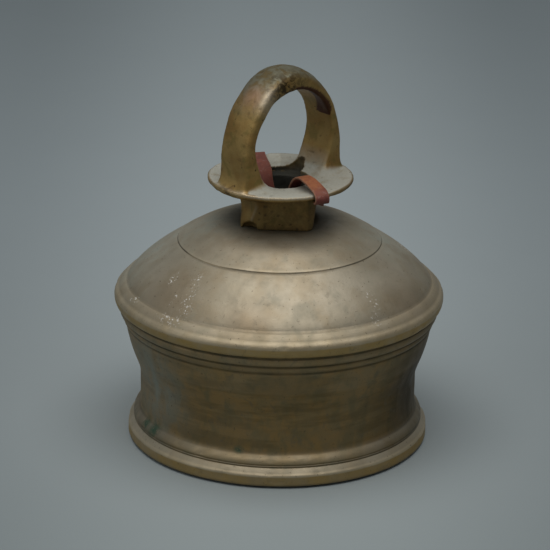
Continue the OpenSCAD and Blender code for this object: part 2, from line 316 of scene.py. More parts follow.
class Graph:
    """A material's nodes, with one short call for each kind."""

    def __init__(self, name):
        self.material = bpy.data.materials.new(name)
        self.material.use_nodes = True
        self.tree = self.material.node_tree
        self.shader = self.tree.nodes["Principled BSDF"]
        self.here = self.new("ShaderNodeTexCoord").outputs["Object"]

    def new(self, kind, **settings):
        node = self.tree.nodes.new(kind)
        for key, value in settings.items():
            setattr(node, key, value)
        return node

    def join(self, source, socket):
        if isinstance(source, bpy.types.NodeSocket):
            self.tree.links.new(source, socket)
        else:
            socket.default_value = source

    def noise(self, size, detail=4, rough=0.55, where=None, warp=0):
        """Noise from 0 to 1 whose lumps are about size millimetres across."""
        node = self.new("ShaderNodeTexNoise")
        self.join(where or self.here, node.inputs["Vector"])
        node.inputs["Scale"].default_value = 1 / (size * MM)
        node.inputs["Detail"].default_value = detail
        node.inputs["Roughness"].default_value = rough
        node.inputs["Distortion"].default_value = warp
        return node.outputs["Fac"]

    def math(self, kind, a, b=0.0, clamp=False):
        node = self.new("ShaderNodeMath", operation=kind, use_clamp=clamp)
        self.join(a, node.inputs[0])
        self.join(b, node.inputs[1])
        return node.outputs[0]

    def times(self, a, b):
        return self.math("MULTIPLY", a, b)

    def plus(self, a, b, clamp=False):
        return self.math("ADD", a, b, clamp)

    def less(self, a, b, clamp=False):
        return self.math("SUBTRACT", a, b, clamp)

    def most(self, a, b):
        return self.math("MAXIMUM", a, b)

    def band(self, value, low, high, out_low=0.0, out_high=1.0):
        """value's range low to high, stretched smoothly to out_low to out_high."""
        node = self.new("ShaderNodeMapRange", interpolation_type="SMOOTHSTEP")
        self.join(value, node.inputs["Value"])
        for key, number in (("From Min", low), ("From Max", high), ("To Min", out_low), ("To Max", out_high)):
            node.inputs[key].default_value = number
        return node.outputs["Result"]

    def mix(self, amount, a, b, kind="MIX"):
        """A colour between a and b."""
        node = self.new("ShaderNodeMix", data_type="RGBA", blend_type=kind)
        self.join(amount, node.inputs[0])
        for value, socket in ((a, node.inputs[6]), (b, node.inputs[7])):
            self.join(value if isinstance(value, bpy.types.NodeSocket) else (*value, 1), socket)
        return node.outputs[2]

    def coats(self, colour, *coats):
        """A colour under coats of (amount, colour), laid one after another."""
        for amount, coat in coats:
            colour = self.mix(amount, colour, coat)
        return colour

    def mark(self, name):
        return self.new("ShaderNodeAttribute", attribute_name=name).outputs["Fac"]

    def vector(self, kind, a, b=(0, 0, 0)):
        node = self.new("ShaderNodeVectorMath", operation=kind)
        self.join(a, node.inputs[0])
        self.join(b, node.inputs[1])
        return node.outputs["Value" if kind == "LENGTH" else "Vector"]

    def near(self, place, reach, stretch=(1, 1, 1)):
        """1 at a place in millimetres, falling to 0 at reach from it."""
        away = self.vector("SUBTRACT", self.here, Vector(place) * MM)
        return self.band(self.vector("LENGTH", self.vector("MULTIPLY", away, stretch)), 0, reach * MM, 1, 0)

    def squeezed(self, scale):
        """The place, scaled on each axis, so that noise read there is drawn out."""
        return self.vector("MULTIPLY", self.here, scale)

    def split(self, vector):
        node = self.new("ShaderNodeSeparateXYZ")
        self.join(vector, node.inputs[0])
        return node.outputs

    def scratches(self, size, stretch, turn, width=0.012):
        """Fine curved lines: the level lines of a noise that is stretched along one direction."""
        mapping = self.new("ShaderNodeMapping")
        self.join(self.here, mapping.inputs["Vector"])
        mapping.inputs["Rotation"].default_value = turn
        mapping.inputs["Scale"].default_value = (1, 1, stretch)
        level = self.noise(size, 2, 0.4, where=mapping.outputs["Vector"])
        off = self.math("ABSOLUTE", self.less(level, 0.5))
        return self.band(off, 0, width, 1, 0)

    def upward(self):
        """How much the surface faces up, from -1 to 1."""
        return self.split(self.new("ShaderNodeNewGeometry").outputs["Normal"])["Z"]

    def bump(self, height, depth, strength=1.0, under=None):
        """A bump whose full height is depth millimetres."""
        node = self.new("ShaderNodeBump")
        node.inputs["Strength"].default_value = strength
        node.inputs["Distance"].default_value = depth * MM
        self.join(height, node.inputs["Height"])
        if under:
            self.join(under, node.inputs["Normal"])
        return node.outputs["Normal"]

    def finish(self, colour, roughness, normal, metallic=0.0):
        self.join(colour, self.shader.inputs["Base Color"])
        self.join(roughness, self.shader.inputs["Roughness"])
        self.join(metallic, self.shader.inputs["Metallic"])
        self.join(normal, self.shader.inputs["Normal"])
        return self.material


def turned_brass():
    """Turned brass under an old skin: warm grey dome, olive brown waist, golden where it is rubbed."""
    g = Graph("turned_brass")
    cloud = g.noise(46, 4, 0.5, warp=0.4)
    blotch = g.noise(13, 5, 0.55)
    mottle = g.noise(7, 6, 0.6, warp=0.5)
    speck = g.noise(1.5, 4, 0.6)
    tarnish = g.mark("tarnish")
    x, y, z = g.split(g.here)
    ring = g.new("ShaderNodeCombineXYZ")
    g.join(g.math("SQRT", g.plus(g.times(x, x), g.times(y, y))), ring.inputs["X"])
    g.join(z, ring.inputs["Y"])
    lathe = g.noise(0.8, 3, 0.7, where=ring.outputs[0])
    smear = g.noise(8, 5, 0.6, where=g.squeezed((1, 1, 0.6)), warp=0.3)
    streak = g.noise(12, 5, 0.6, where=g.squeezed((0.3, 0.3, 2.2)))
    clean = g.coats(
        g.mix(g.band(cloud, 0.35, 0.65), (0.375, 0.32, 0.23), (0.465, 0.4, 0.3)),
        (g.band(blotch, 0.42, 0.7, 0, 0.5), (0.31, 0.23, 0.13)),
        (g.band(smear, 0.5, 0.66, 0, 0.25), (0.25, 0.25, 0.19)),
        (g.times(strongest(g, WARM_PLACES), 0.6), (0.29, 0.205, 0.115)))
    brown = g.coats(
        g.mix(g.band(mottle, 0.35, 0.65), (0.3, 0.192, 0.076), (0.255, 0.182, 0.086)),
        (g.band(smear, 0.46, 0.64, 0, 0.5), (0.16, 0.15, 0.085)),
        (g.band(streak, 0.45, 0.6, 0, 0.45), (0.13, 0.09, 0.035)),
        (g.band(blotch, 0.55, 0.72, 0, 0.7), (0.3, 0.19, 0.065)),
        # painted shade on the waist's right side
        (g.times(strongest(g, PAINTED_SHADE_PLACES), 0.92), (0.038, 0.026, 0.01)))
    bloom = g.times(strongest(g, BLOOM_PLACES), g.band(smear, 0.35, 0.6, 0.35, 0.9))
    dust = g.times(g.band(g.upward(), 0.2, 0.9), g.band(g.noise(24, 6, 0.5), 0.2, 0.8, 0.3, 0.8))
    dirty = g.most(g.most(tarnish, g.mark("gold")), strongest(g, SMUDGE_PLACES))
    smudge = g.times(g.band(g.noise(5, 6, 0.65, warp=0.8), 0.56, 0.68, 0, 0.4), dirty)
    scratch = g.most(g.scratches(60, 5, (0.1, 0.05, 0)), g.scratches(70, 3, (0.9, 0.4, 0.3)))
    scratch = g.times(scratch, g.band(mottle, 0.55, 0.7))
    scratch = g.times(scratch, g.less(1.0, tarnish, clamp=True))
    wax = g.times(strongest(g, WAX_PLACES), g.band(g.noise(1.2, 4, 0.6), 0.57, 0.63))
    wax = g.times(wax, g.band(tarnish, 0.85, 0.98, 1, 0))
    green = g.times(strongest(g, VERDIGRIS_PLACES), g.band(g.noise(3, 5, 0.7), 0.4, 0.5))
    colour = g.coats(
        clean,
        (g.times(tarnish, g.band(cloud, 0.2, 0.6, 0.85, 1)), brown),
        (g.times(g.mark("gold"), g.band(blotch, 0.3, 0.6, 0.45, 1)), (0.41, 0.27, 0.085)),
        # wear, and a painted highlight on the turned line's step
        (g.times(g.mark("wear_and_highlight"), 0.75), (0.6, 0.5, 0.34)),
        (bloom, (0.255, 0.268, 0.228)),
        # grime, with painted shade under the foot, in the grooves, on the turned line, at the lip's sides and
        # round the neck
        (g.times(g.mark("grime_and_shade"), 0.85), (0.045, 0.042, 0.03)),
        (g.times(dust, 0.3), (0.36, 0.35, 0.3)),
        (g.band(speck, 0.63, 0.72, 0, 0.7), (0.1, 0.08, 0.05)),
        (smudge, (0.14, 0.125, 0.09)),
        (g.times(scratch, 0.3), (0.5, 0.43, 0.32)),
        (wax, (0.8, 0.79, 0.75)),
        (green, g.mix(g.noise(0.9, 3), (0.012, 0.028, 0.018), (0.06, 0.13, 0.08))))
    matt = g.most(g.most(wax, green), g.times(bloom, 0.7))
    rough = g.plus(g.band(smear, 0.3, 0.7, 0.44, 0.58), g.times(tarnish, 0.04))
    rough = g.plus(rough, g.times(matt, 0.25), clamp=True)
    normal = None
    for height, depth, strength in ((lathe, 0.04, 0.6), (blotch, 0.25, 0.4), (smear, 0.12, 0.4),
                                    (speck, 0.1, 0.6), (g.less(wax, scratch), 0.06, 0.6)):
        normal = g.bump(height, depth, strength, normal)
    metal = g.less(g.band(dust, 0, 1, 0.8, 0.62), g.times(matt, 0.7), clamp=True)
    g.shader.inputs["Specular IOR Level"].default_value = 0.2
    return g.finish(colour, rough, normal, metal)


# Each place is a point, how far its mark reaches, and how that reach is squeezed on each axis where it is.

# Old polish and lime that have dried white in runs down the dome and along the bead
WAX_PLACES = [((-61, -6.4, 95.5), 9, (1, 2.5, 0.8)), ((-67.5, -10, 90), 10, (1, 2.8, 0.8)),
              ((-72, -13, 85.5), 7, (1, 1.8, 1)), ((-77.4, -6.8, 80.2), 10, (1, 0.8, 3)),
              ((-73, 24.4, 80.9), 6, (1, 1, 2)), ((-63, 7, 94.5), 6, (1, 2, 1)),
              ((-71, -2, 88), 6, (1, 3, 1)), ((-1, -68.5, 90.5), 8, (2.5, 1, 0.8)),
              ((-5, -75, 83.4), 7, (2, 1, 1.2)), ((60, -30, 92), 12, (1, 2, 1))]
# Green corrosion where the waist meets the lip
VERDIGRIS_PLACES = [((-70.6, 13.5, 14.5), 7, (1, 1, 0.9)), ((-68.3, 22.5, 14.5), 6, (1, 1, 0.9)),
                    ((-58.8, -37.5, 17), 4, (1, 1, 1.5)), ((20, 70, 15), 9, (0.7, 1, 1))]
# A cool grey-green bloom on the dome's back and left, and on the waist's left
BLOOM_PLACES = [((-42, 46, 97), 42, (1, 1, 0.8)), ((40, -32, 106), 30), ((-24, 18, 112), 26),
                ((-66, 14, 42), 38, (1, 1, 0.8)), ((30, 60, 92), 36)]
# Browner metal low on the dome's left and front
WARM_PLACES = [((-70, 2, 88), 26), ((-60, -44, 84), 22, (1, 1, 1.3)), ((20, -72, 84), 26, (1, 1, 1.2))]
# Smudges on the dome's front and back
SMUDGE_PLACES = [((-52, -42, 90), 22), ((-20, -62, 94), 14), ((30, 50, 98), 40)]
# Painted shade on the waist's right side, darkened nearly to black
PAINTED_SHADE_PLACES = [((34, -62, 38), 48, (1, 1, 0.7)), ((56, -44, 30), 50, (1, 1, 0.7)),
               ((62, -20, 40), 60, (1, 1, 0.8))]


def strongest(g, places):
    """The strongest mark of several places."""
    amount = g.near(*places[0])
    for place in places[1:]:
        amount = g.most(amount, g.near(*place))
    return amount


def cast_brass():
    """The rough cast handle: golden brown with olive patches and pits, and grey-green dust on the flange;
    painted shade inside its passage and on its neck, and painted highlights on the loop's shoulder and the
    neck's corner.
    """
    g = Graph("cast_brass")
    cloud = g.noise(15, 5, 0.55, warp=0.4)
    patch = g.noise(6, 5, 0.6, warp=0.6)
    grain = g.noise(1.3, 5, 0.65)
    pits = g.times(g.band(g.noise(1.9, 3, 0.5), 0.68, 0.74), g.band(cloud, 0.4, 0.6, 0.3, 1))
    wear_and_highlight, grime_and_shade, olive, passage_shade = [g.mark(name) for name in ("wear_and_highlight", "grime_and_shade", "olive", "passage_shade")]
    dust = g.times(g.mark("dust"), g.band(g.noise(7, 6, 0.65), 0.25, 0.5, 0.6, 1))
    colour = g.coats(
        g.mix(g.band(cloud, 0.35, 0.65), (0.3, 0.18, 0.058), (0.36, 0.245, 0.09)),
        (g.band(patch, 0.48, 0.66, 0, 0.6), (0.21, 0.16, 0.05)),
        (g.band(g.noise(4, 5, 0.6, warp=1), 0.62, 0.7, 0, 0.6), (0.13, 0.075, 0.03)),
        # olive patina and painted shade on the loop's upper faces
        (g.times(olive, g.band(patch, 0.3, 0.6, 0.7, 1)),
         g.mix(g.band(patch, 0.4, 0.6), (0.12, 0.1, 0.055), (0.2, 0.19, 0.135))),
        # stains on the loop, and painted shade on the neck
        (g.times(g.mark("stain_and_shade"), g.band(g.noise(3.4, 5, 0.65, warp=1), 0.42, 0.54)), (0.05, 0.032, 0.014)),
        # the dark patch on the right leg's inner face
        (g.times(g.mark("inner_patch"), g.band(patch, 0.2, 0.5, 0.75, 0.97)), (0.07, 0.028, 0.017)),
        (g.times(g.mark("tan"), g.band(patch, 0.3, 0.6, 0.4, 0.9)), (0.5, 0.3, 0.19)),
        # wear, and painted highlights along the loop's left shoulder and the neck's left corner
        (g.times(wear_and_highlight, 0.7), (0.62, 0.56, 0.46)),
        (g.times(dust, 0.92), g.mix(grain, (0.36, 0.36, 0.31), (0.54, 0.54, 0.48))),
        (g.most(pits, g.times(grime_and_shade, 0.9)), (0.05, 0.033, 0.016)),
        # painted shade inside the thong's passage
        (passage_shade, g.mix(patch, (0.028, 0.028, 0.022), (0.06, 0.06, 0.05))))
    normal = g.bump(grain, 0.2, 0.6)
    normal = g.bump(patch, 0.3, 0.4, normal)
    normal = g.bump(g.less(1.0, pits), 0.2, 0.7, normal)
    rough = g.plus(g.band(cloud, 0.3, 0.7, 0.44, 0.56), g.times(olive, 0.1))
    rough = g.less(rough, g.times(wear_and_highlight, 0.15))
    matt = g.most(g.most(passage_shade, dust), grime_and_shade)
    rough = g.plus(rough, g.times(matt, 0.2), clamp=True)
    metal = g.less(0.7, g.times(matt, 0.6), clamp=True)
    g.shader.inputs["Specular IOR Level"].default_value = 0.2
    return g.finish(colour, rough, normal, metal)


def leather():
    """Red-brown strap: deep red where clean, orange and dusty where rubbed and on its upper faces as painted
    light, tan at its cut edges.
    """
    g = Graph("thong_leather")
    cloud = g.noise(6, 6, 0.6)
    grain = g.noise(0.5, 4, 0.6)
    fibre = g.noise(2, 6, 0.7)
    rub_and_lit_top = g.times(g.mark("rub_and_lit_top"), g.band(fibre, 0.3, 0.55, 0.3, 1))
    colour = g.coats(
        g.mix(g.band(cloud, 0.3, 0.7), (0.13, 0.03, 0.022), (0.21, 0.052, 0.036)),
        # rubbed leather, and painted light on the strap's upper faces
        (g.times(rub_and_lit_top, 0.8), (0.36, 0.125, 0.04)),
        (g.times(g.mark("edge"), g.band(cloud, 0.3, 0.6, 0.3, 0.8)), (0.32, 0.17, 0.1)),
        (g.band(fibre, 0.56, 0.7, 0, 0.6), (0.36, 0.22, 0.2)),
        (g.band(grain, 0.55, 0.75, 0, 0.5), (0.06, 0.016, 0.014)))
    normal = g.bump(fibre, 0.2, 0.5, g.bump(grain, 0.1, 0.7))
    return g.finish(colour, g.band(cloud, 0.3, 0.7, 0.48, 0.7), normal)


def rawhide():
    """Dull rawhide lace."""
    g = Graph("lace_rawhide")
    cloud = g.noise(3, 5)
    colour = g.mix(g.band(cloud, 0.3, 0.7), (0.16, 0.085, 0.045), (0.33, 0.2, 0.11))
    return g.finish(colour, g.band(cloud, 0.3, 0.7, 0.55, 0.8), g.bump(g.noise(0.5, 4), 0.12, 0.7))


def forged_iron():
    """Black forged iron with rust in its hollows, bright where it rubs and strikes."""
    g = Graph("forged_iron")
    cloud = g.noise(9, 6, 0.65)
    scale = g.noise(2, 5, 0.7)
    colour = g.coats(
        g.mix(g.band(cloud, 0.35, 0.65), (0.075, 0.07, 0.068), (0.13, 0.12, 0.11)),
        (g.band(scale, 0.52, 0.7, 0, 0.75), (0.17, 0.075, 0.035)),
        (g.mark("wear_and_highlight"), (0.36, 0.34, 0.32)))
    normal = g.bump(g.noise(0.7, 3), 0.08, 0.6, g.bump(scale, 0.25, 0.7))
    rough = g.less(g.band(scale, 0.3, 0.7, 0.5, 0.78), g.times(g.mark("wear_and_highlight"), 0.25))
    return g.finish(colour, rough, normal, g.band(scale, 0.45, 0.7, 0.9, 0.45))


def floor_paper_with_painted_light():
    """Blue-grey paper with painted light: lighter far behind the bell, darker toward the camera and to each
    side, as light falls off.
    """
    g = Graph("floor_paper_with_painted_light")
    x, y, _ = g.split(g.here)
    right_x, right_y = math.cos(CAMERA_AZIMUTH), math.sin(CAMERA_AZIMUTH)
    across = g.plus(g.times(x, right_x), g.times(y, right_y))
    deep = g.less(g.times(y, right_x), g.times(x, right_y))
    # Painted fall-off of the light: darker toward the camera and to each side, lighter far behind
    colour = g.coats(g.mix(g.band(deep, -0.2, 0.05), (0.32, 0.365, 0.375), (0.4, 0.45, 0.465)),
                     (g.band(deep, 0, 0.45), (0.455, 0.515, 0.54)))
    colour = g.mix(g.band(g.math("ABSOLUTE", across), 0.02, 0.19), colour, (0.68, 0.69, 0.7), kind="MULTIPLY")
    colour = g.mix(g.noise(60, 3), colour, (0.97, 0.97, 0.97), kind="MULTIPLY")
    return g.finish(colour, g.band(g.noise(1.2, 3), 0.3, 0.7, 0.75, 0.85), g.bump(g.noise(0.6, 3), 0.03, 0.5))


# ---- Bell ----

BEAD_R = BODY_HI[0]
CROWN_Z = BODY_HI[2]
LIP_R = 75.6
WAIST_R = 69.3
LINE_R = 51
FLARE_R = BEAD_R - 5.7
TENON_HOLE_R = 15.5
CROWN_LOW_Z = CROWN_Z - 5
BELL_SIDES = 452
NICK_COUNT = 130


def fillet_ring(r, z, h):
    return np.vstack([[[r - 1, z], [r - 0.6, z + 0.4]],
                      bezier([(r - 0.6, z + 0.4), (r + 0.3, z + h / 2), (r - 0.1, z + h - 0.3)], 6)])


def bell_profile():
    """The bell's section: points (radius, height), and the four marks of each one: wear, which also holds
    painted highlights; grime, which also holds painted shade; tarnish; and gold. A stretch is a radius, places
    measured from it, how many points a curve along them takes (0 for the places themselves), and its four
    marks."""
    stretches = [
        # Under the foot: painted shade where the lip stands close to the floor
        (LIP_R, [(-3.6, 0), (-3.4, 1.1)], 0, (0, 1, 0.8, 0)),
        (LIP_R, [(-3, 1.2), (-0.9, 1.2)], 0, (0, 1, 0.6, 0)),
        (LIP_R, [(-0.8, 1.2), (0, 1.2), (0, 1.9)], 4, (0, 0.3, 0.6, 0.4)),
        (LIP_R, [(0, 2.6), (0, 4), (0, 5.7)], 0, (0, 0, 0.5, 0.75)),
        (LIP_R, [(0, 5.8), (0, 6.8), (-0.7, 7.3)], 5, (0.75, 0, 0.1, 0.2)),
        (LIP_R, [(-1.2, 7.9), (-1.7, 8.5), (-2.3, 9.1), (-2.7, 9.5)], 0, (0.3, 0, 0.1, 0)),
        (LIP_R, [(-3.05, 9.8), (-3.1, 10)], 0, (0, 0.6, 0.9, 0)),
        (LIP_R, [(-2.85, 10.25), (-2.7, 10.5), (-2.85, 10.75)], 0, (0.1, 0.15, 0.4, 0)),
        (LIP_R, [(-3, 10.95), (-2.95, 11.1)], 0, (0, 0.5, 0.9, 0)),
        (LIP_R, [(-2.7, 11.4), (-3, 13.5), (-5, 14.9)], 8, (0.05, 0, 0.35, 0.3)),
        (WAIST_R, [(0.6, 15.5), (0.2, 16.4)], 0, (0, 0.1, 0.9, 0)),
        (WAIST_R, [(0, z) for z in np.linspace(17.5, 33, 11)], 0, (0, 0.1, 1, 0)),
        (WAIST_R, [(0, 33), (0.1, 38), (2.6, 42.5), (4.4, 48)], 11, (0, 0, 1, 0)),
        (0, [(WAIST_R + 4.4, 48), (WAIST_R + 6.2, 53.6), (FLARE_R, 59.8)], 9, (0.05, 0, 0.95, 0)),
        (FLARE_R, [(-0.1, 60.2), (0, 60.9)], 0, (0, 0.75, 1, 0)),
        (0, fillet_ring(FLARE_R + 1.2, 61.1, 2.9), 0, (0.12, 0.1, 0.9, 0.1)),
        (FLARE_R, [(1, 64), (1.2, 65)], 0, (0, 0.85, 1, 0)),
        (0, fillet_ring(FLARE_R + 3.1, 65.2, 3.6), 0, (0.12, 0.1, 0.8, 0.1)),
        (BEAD_R, [(-3, 69), (-2.8, 70)], 0, (0, 0.9, 1, 0)),
        (BEAD_R, [(-1.9, 70.2), (0, 71.2), (0, 74.4)], 7, (0.1, 0, 0.3, 0.9)),
        (BEAD_R, [(0, 74.4), (0, 76.8), (-2, 77.9)], 7, (0.6, 0, 0.1, 0.25)),
        (BEAD_R, [(-2, 77.9), (-3.6, 80.3), (-5.6, 81.3)], 6, (0.2, 0, 0.1, 0.1)),
        (BEAD_R, [(-6.4, 81.4)], 0, (0, 0.25, 0.3, 0)),
        (0, [(BEAD_R - 6.6, 81.8), (BEAD_R - 9.8, 87.6), (LINE_R + 11, 95.9), (LINE_R, 102.4)], 26,
         (0, 0, 0, 0)),
        # The turned line: painted shade in its groove and on its step, and a painted highlight on the step's
        # upper edge
        (LINE_R, [(-0.1, 102.38), (-0.25, 102.42)], 0, (0, 1, 0.8, 0)),
        (LINE_R, [(-0.3, 102.9)], 0, (0, 0.9, 0, 0)),
        (LINE_R, [(-0.45, 103.08)], 0, (0.5, 0, 0, 0)),
        (0, [(LINE_R - 0.7, 103.2), (43.3, 107.3), (36.6, CROWN_Z - 0.9), (24.6, CROWN_Z)], 22,
         (0, 0, 0.1, 0)),
        (0, [(21, CROWN_Z), (TENON_HOLE_R, CROWN_Z)], 0, (0, 0.9, 1, 0)),
        (0, [(TENON_HOLE_R, CROWN_LOW_Z), (24.6, CROWN_LOW_Z)], 0, (0, 0.6, 1, 0)),
        (0, [(24.6, CROWN_LOW_Z), (42, 105.8), (BEAD_R - 20, 91.5), (BEAD_R - 10.9, 79.4)], 20,
         (0, 0.3, 1, 0)),
        (BEAD_R, [(-10.9, 79.4), (-6.9, 74.5), (-7.7, 68.5)], 5, (0, 0.4, 1, 0)),
        (0, [(BEAD_R - 7.7, 68.5), (BEAD_R - 10.3, 56), (WAIST_R - 4.5, 44), (WAIST_R - 4.7, 20)], 16,
         (0, 0.3, 1, 0)),
        (0, [(WAIST_R - 4.7, 20), (WAIST_R - 5, 7), (LIP_R - 8.8, 1)], 8, (0.1, 0.2, 0.9, 0)),
        (LIP_R, [(-7.6, 0)], 0, (0.5, 0.1, 0.6, 0)),
    ]
    points, marks = [], []
    for radius, places, count, given in stretches:
        places = np.array(places) + np.array([radius, 0])
        points.append(bezier(places, count) if count else places)
        marks.append(np.tile(np.array(given, float), (len(points[-1]), 1)))
    return np.vstack(points), np.vstack(marks).T


def make_bell(material):
    profile, marks = bell_profile()
    angle = np.arange(BELL_SIDES) * 2 * np.pi / BELL_SIDES
    tangent = np.roll(profile, -1, 0) - np.roll(profile, 1, 0)
    tangent /= np.linalg.norm(tangent, axis=1)[:, None]

    def spun(section):
        r, z = section[:, :1], np.repeat(section[:, 1:], BELL_SIDES, 1)
        return np.stack([r * np.cos(angle), r * np.sin(angle), z], -1).reshape(-1, 3)

    points, normal = spun(profile), spun(tangent[:, ::-1] * [1, -1])
    reach = from_axis(points)
    free = unit(np.minimum(points[:, 2] / 2, 1)) * (reach > TENON_HOLE_R + 2)
    waves = 0.12 * lumps(points, 45, 1) + 0.06 * lumps(points, 14, 2) + 0.03 * lumps(points, 4.5, 3)
    points = points + normal * ((waves - nicks(points)) * free)[:, None]
    points[:, 2] += worn_line(points, reach)
    patchy = lumps(points, 16, 4) * 0.5 + lumps(points, 5, 5) * 0.5
    wear_and_highlight, grime_and_shade, tarnish, gold = [np.repeat(mark, BELL_SIDES) for mark in marks]
    grime_and_shade = grime_and_shade * np.clip(0.8 - 0.5 * patchy, 0.15, 1) * (1 - 0.85 * line_wear(points))
    uneven = unit(1 + 0.5 * patchy)
    # Painted shade: the lip's upper ring darkened at both sides, away from the camera's side
    side_shade = np.exp(-((np.abs(around(points, CAMERA_SIDE)) - 1.25) / 0.55) ** 4)
    z = points[:, 2]
    grime_and_shade = np.maximum(grime_and_shade, 0.62 * side_shade * (np.abs(z - 13) < 2.6) * uneven)
    # Grime and painted shade in a ring on the dome round the neck's foot
    neck_grime_and_shade = 0.9 * spot((reach - 18) / 11) * (z > CROWN_Z - 4) * uneven
    faces = quad_grid(len(profile), BELL_SIDES, closed=True)
    make_mesh("bell_casting", points, faces, "root", material, ["bell_body"],
              {"wear_and_highlight": wear_and_highlight * unit(0.8 + 0.4 * patchy), "grime_and_shade": np.maximum(grime_and_shade, neck_grime_and_shade),
               "tarnish": tarnish, "gold": gold * unit(0.9 + 0.4 * patchy)})


def line_wear(points):
    """How far the turned line is rubbed away at each point: it is nearly gone on one side."""
    return np.exp(-(around(points, CAMERA_SIDE - 0.78) / 0.3) ** 4) * (np.abs(points[:, 2] - 103) < 4)


def worn_line(points, reach):
    """How far the turned line's step is lowered at each point."""
    step = unit((LINE_R + 0.2 - reach) / 0.9) * unit((reach - LINE_R + 7) / 6)
    return -0.45 * line_wear(points) * step


def nicks(points):
    """Depth in millimetres of the small dents that knocks leave on the lip's rings and the bead."""
    random = np.random.default_rng(7)
    depth = np.zeros(len(points))
    for number in range(NICK_COUNT):
        angle = random.uniform(0, 2 * np.pi)
        r, z = (LIP_R - 0.3, random.uniform(4, 8)) if number % 2 else (BEAD_R, random.uniform(71, 78))
        if number % 3 == 0:
            r, z = LIP_R - 3, random.uniform(12, 14.5)
        centre = np.array([r * math.cos(angle), r * math.sin(angle), z])
        size = random.uniform(0.9, 2.6)
        gap = ((points - centre) ** 2).sum(1)
        depth += random.uniform(0.08, 0.4) * np.exp(-gap / size ** 2)
    return depth


# ---- Crown handle ----

RIM_R = (CROWN_HI[0] - CROWN_LO[0]) / 2
RIM_Z = 135.9
LOOP_TOP = CROWN_HI[2]
LOOP_HALF = 31.3
ARCH_SPRING = 150
EYE_HALF = 25
EYE_SPRING = 157
EYE_TOP = LOOP_TOP - 10.3
NOTCH_DEPTH = 0.8
NOTCH_TURN = math.radians(67)
NECK_HALF = 18.75
NECK_CORNER = 22.6
PASSAGE_R = 14
BORE_R = 11.5
BAND_HALF = 10


def loop_field(p):
    """The loop: two half ellipses over legs that spread at the feet, with a crowned outer face."""
    x, y, z = np.abs(p[:, 0]), p[:, 1], p[:, 2]
    foot = unit((143 - z) / 9)
    arch = z - ARCH_SPRING
    outer = np.where(arch > 0, ellipse_field(x, arch, LOOP_HALF, LOOP_TOP - ARCH_SPRING),
                     x - LOOP_HALF - 3 * foot ** 2)
    outer = outer + 0.026 * y ** 2 * unit(arch / 30)
    spread = np.clip((EYE_SPRING - z) / 25, 0, None)
    inner = np.where(z > EYE_SPRING, -ellipse_field(x, z - EYE_SPRING, EYE_HALF, EYE_TOP - EYE_SPRING),
                     EYE_HALF - 8.6 * spread ** 1.6 - x)
    thicker = 1.3 * spot((z - 170) / 9) * (p[:, 0] < 0)
    ring = smooth_max(outer, inner - thicker, 0.5)
    ring = np.maximum(ring, flange_bottom(np.hypot(p[:, 0], y)) - 0.4 - z)
    return round_both(ring, np.abs(y) - BAND_HALF - 0.15, 1.8)


def flange_bottom(reach):
    """The height of the flange's underside at a distance from the axis."""
    u = unit((reach - NECK_HALF) / (RIM_R - NECK_HALF))
    return RIM_Z - 5.2 + 3 * u ** 1.7


def flange_field(p):
    """The dished flange, worn back at the front, with the notch that the thong lies in at the back."""
    r = from_axis(p)
    turn = around(p, CAMERA_SIDE)
    rim = RIM_R - 1.3 * spot(turn / 0.6)
    s = unit((r - PASSAGE_R) / (RIM_R - PASSAGE_R))
    top = RIM_Z - 2.1 + 2.1 * s ** 1.4 - 0.12 * spot(turn / 0.9)
    notch = NOTCH_DEPTH * np.exp(-(around(p, NOTCH_TURN) * RIM_R / 5) ** 6) * unit((r - RIM_R + 5) / 2)
    return round_both(np.maximum(p[:, 2] - top + notch, flange_bottom(r) - p[:, 2]), r - rim, 0.75)


def neck_field(p):
    u = (p[:, 0] + p[:, 1]) / math.sqrt(2)
    v = (p[:, 0] - p[:, 1]) / math.sqrt(2)
    low = unit((RIM_Z - 6 - p[:, 2]) / 17)
    flats = np.maximum(np.abs(u), np.maximum(v + 0.9 * low + 1.3 * low ** 2, -v)) - NECK_HALF
    corners = np.maximum(p[:, 0] - NECK_CORNER, p[:, 1] - NECK_CORNER)
    corners = np.maximum(corners, np.maximum(-p[:, 0] - 19.5 - 4.5 * low, -p[:, 1] - 23.6))
    chip = 4.6 - np.linalg.norm(p - np.array([-23.5, -3, CROWN_Z]), axis=1) - 0.8 * lumps(p, 2.2, 17)
    sides = np.maximum(smooth_max(flats, corners, 0.4), chip)
    ends = np.maximum(CROWN_Z - p[:, 2], p[:, 2] - RIM_Z + 3.5)
    return round_both(sides, ends, 0.35)


def tenon_field(p):
    r = from_axis(p)
    shaft = np.maximum(r - TENON_HOLE_R + 0.1, np.maximum(WASHER_LO[2] - 1 - p[:, 2], p[:, 2] - CROWN_Z - 1))
    head_mid = (CROWN_LO[2] + WASHER_LO[2] - 0.1) / 2
    head_half = (WASHER_LO[2] - 0.1 - CROWN_LO[2]) / 2
    head = round_both(r - 18.5, np.abs(p[:, 2] - head_mid) - head_half, 0.9)
    return np.minimum(shaft, head)


def passage_field(p):
    """Positive inside the thong's passage, and in the rough flaw at the right leg's foot."""
    z = p[:, 2]
    bore = BORE_R + (PASSAGE_R - 0.6 - BORE_R) * unit((z - CROWN_Z) / 5)
    bore = bore + 0.6 * unit((z - RIM_Z + 3.5) / 1.2)
    passage = np.minimum(bore - from_axis(p), RIM_Z + 2 - z)
    back = rod(p, (7.2, 13.2, 132), (14, 7, 134.5), 4.8, 5.6)
    flaw = -smooth_min(back, rod(p, (11, 6, 131), (17, 6, 138), 5, 3), 2)
    flaw = flaw + 0.45 * lumps(p, 3.2, 15) + 0.3 * lumps(p, 1.4, 16)
    return np.maximum(passage, np.minimum(flaw, z - RIM_Z + 4.4))


